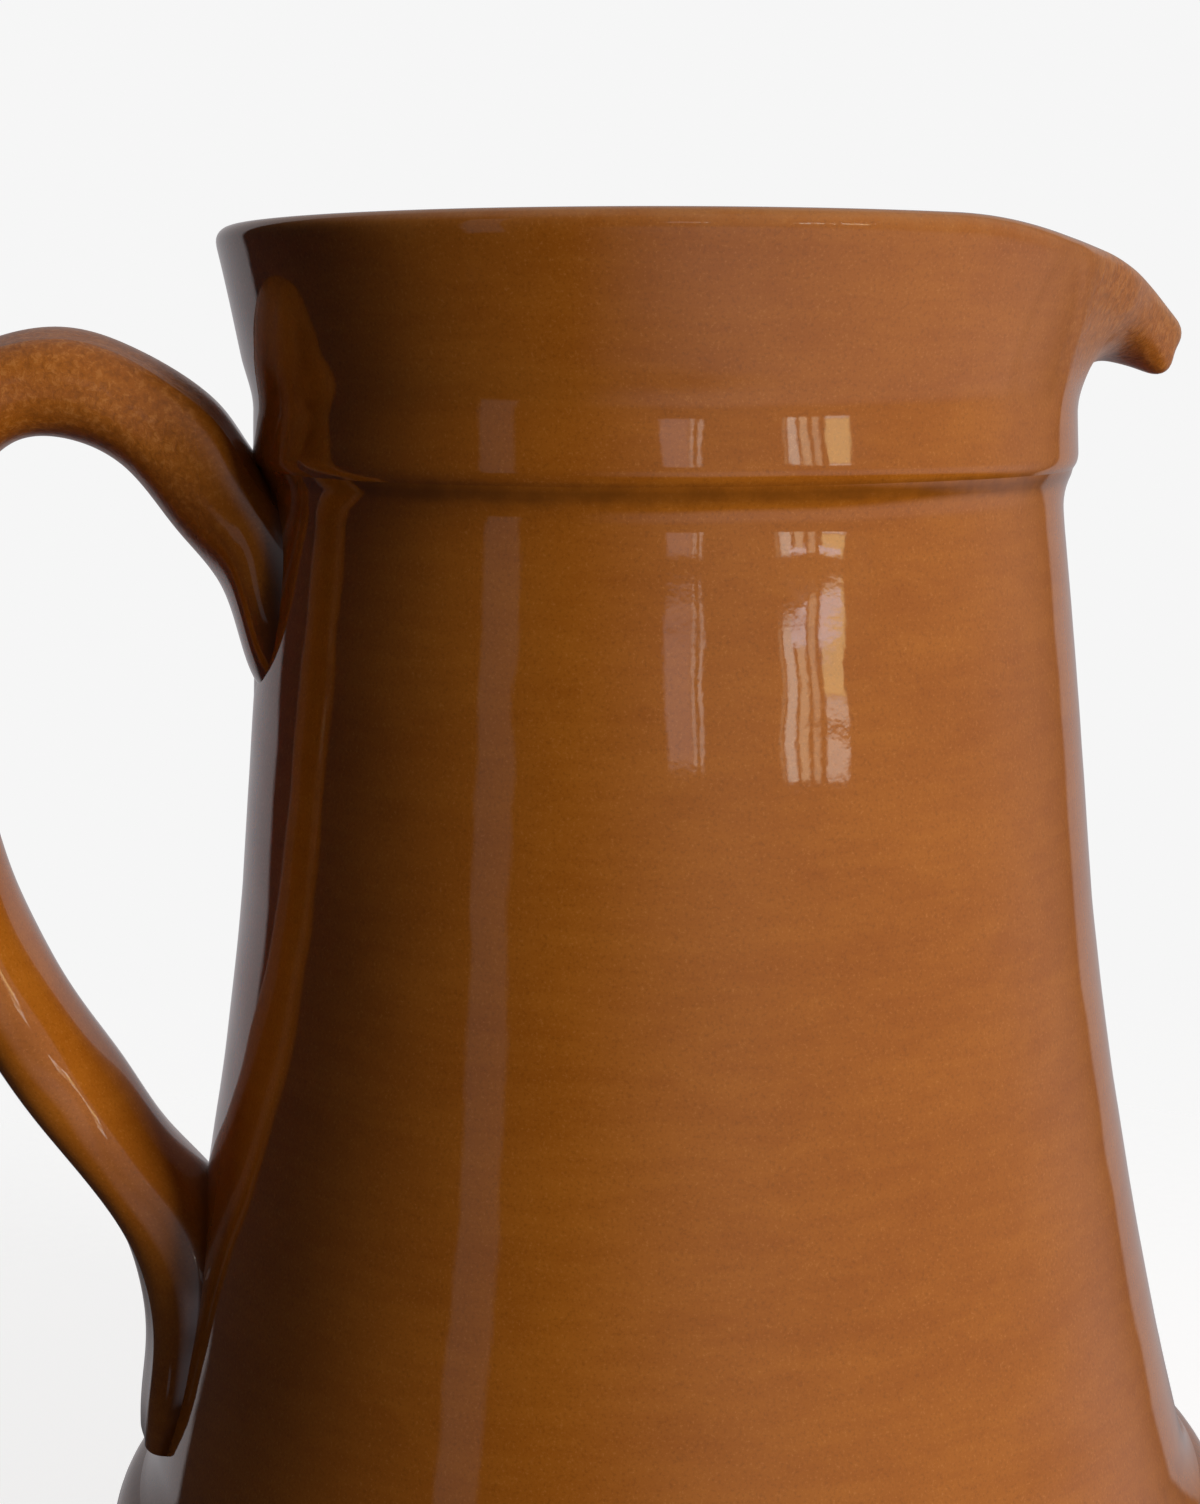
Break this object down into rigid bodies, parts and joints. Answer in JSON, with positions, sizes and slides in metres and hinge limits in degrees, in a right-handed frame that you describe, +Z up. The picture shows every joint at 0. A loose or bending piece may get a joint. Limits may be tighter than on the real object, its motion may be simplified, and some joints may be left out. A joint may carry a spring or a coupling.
{
  "type": "pitcher",
  "caption": "Glazed earthenware pitcher with a bell-shaped body on a rounded belly, an overhanging collar with a drooping beak spout, and a pulled loop handle.",
  "frame": {"origin": "centre of the flat face that the pitcher stands on", "axes": "+Z up along the axis the pitcher was turned on, +X out through the spout, handle on -X"},
  "size_m": [0.2108, 0.1792, 0.245],
  "materials": {
    "amber_glaze": "glossy honey-brown lead-type glaze with fine orange-peel, darker where it is thick",
    "bare_clay": "matt unglazed terracotta"
  },
  "bodies": {
    "root": {"base": "bare_clay", "lower_body": "amber_glaze", "upper_body": "amber_glaze", "collar": "amber_glaze", "pouring_spout": "amber_glaze", "upper_luting_pad": "amber_glaze", "lower_luting_pad": "amber_glaze", "handle": "amber_glaze"}
  },
  "joints": []
}
